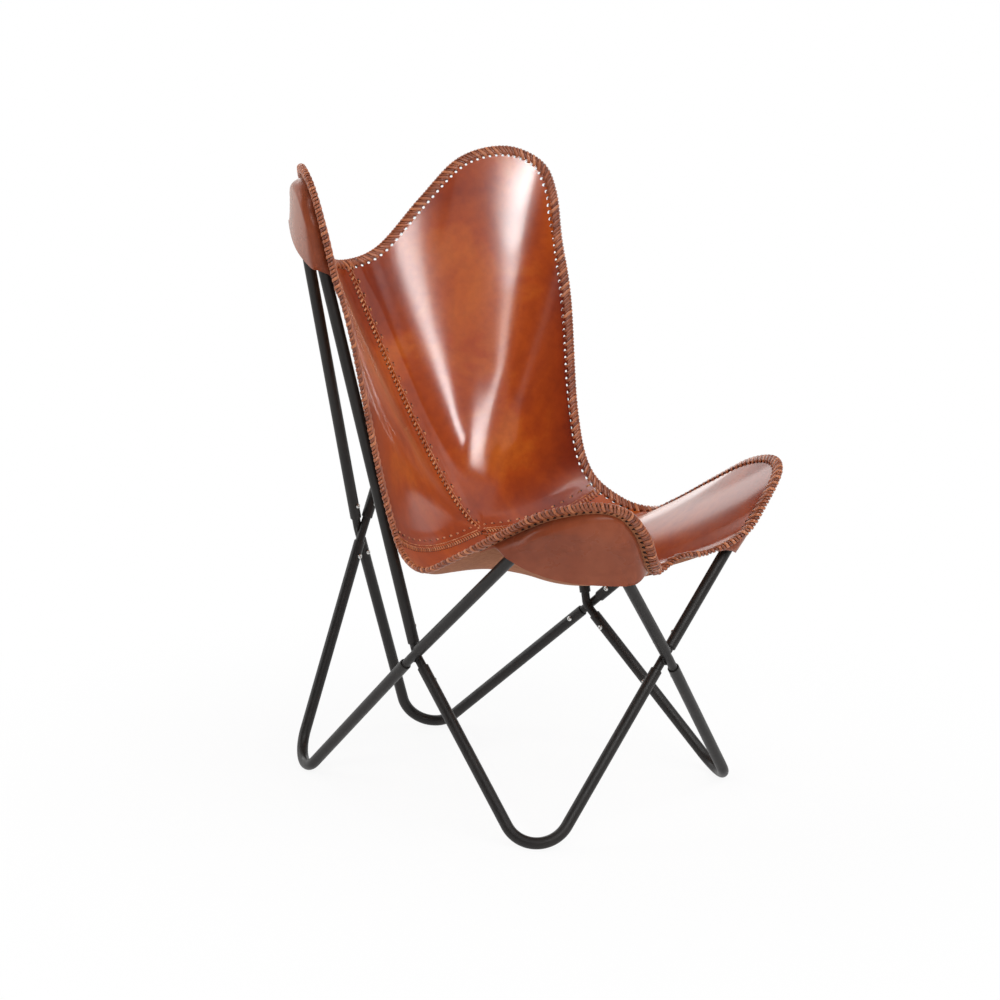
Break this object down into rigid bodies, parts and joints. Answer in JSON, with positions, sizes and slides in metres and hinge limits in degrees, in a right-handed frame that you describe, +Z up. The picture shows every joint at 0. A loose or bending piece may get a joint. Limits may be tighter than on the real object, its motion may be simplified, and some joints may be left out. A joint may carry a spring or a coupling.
{
  "type": "butterfly sling chair",
  "caption": "Low lounge chair with a laced leather sling whose corner pockets hang on the bent tubes of a black knock-down steel frame.",
  "frame": {"origin": "on the floor under the middle of the chair's bounding box", "axes": "+Z up, the chair faces -Y, and +X is the side named right, as seen by someone who stands in front of the chair"},
  "size_m": [0.52, 0.6515, 0.8748],
  "materials": {
    "frame": "black satin powder coat",
    "fastener": "bright zinc plate",
    "sling": "glossy waxed cognac leather, mottled",
    "lacing": "braided tan leather lace",
    "pocket": "smooth brown grain outside, suede inside"
  },
  "bodies": {
    "root": {"foot_loop_front_left": "frame", "foot_loop_front_right": "frame", "foot_loop_rear_left": "frame", "foot_loop_rear_right": "frame", "top_loop_front_left": "frame", "top_loop_front_right": "frame", "top_loop_rear_left": "frame", "top_loop_rear_right": "frame", "cross_connector_left": "frame", "cross_connector_right": "frame", "cross_connector_front": "frame", "cross_connector_rear": "frame", "screw_foot_front_left_left_crossing": "fastener", "screw_foot_front_left_front_crossing": "fastener", "screw_foot_front_right_right_crossing": "fastener", "screw_foot_front_right_front_crossing": "fastener", "screw_foot_rear_left_left_crossing": "fastener", "screw_foot_rear_left_rear_crossing": "fastener", "screw_foot_rear_right_right_crossing": "fastener", "screw_foot_rear_right_rear_crossing": "fastener", "screw_top_front_left_left_crossing": "fastener", "screw_top_front_left_front_crossing": "fastener", "screw_top_front_right_right_crossing": "fastener", "screw_top_front_right_front_crossing": "fastener", "screw_top_rear_left_left_crossing": "fastener", "screw_top_rear_left_rear_crossing": "fastener", "screw_top_rear_right_right_crossing": "fastener", "screw_top_rear_right_rear_crossing": "fastener", "back_panel_left": "sling", "back_panel_right": "sling", "seat_panel_left": "sling", "seat_panel_right": "sling", "back_lace_left": "lacing", "back_lace_right": "lacing", "seat_lace_left": "lacing", "seat_lace_right": "lacing", "pocket_front_left": "pocket", "pocket_front_right": "pocket", "pocket_rear_left": "pocket", "pocket_rear_right": "pocket"}
  },
  "joints": []
}
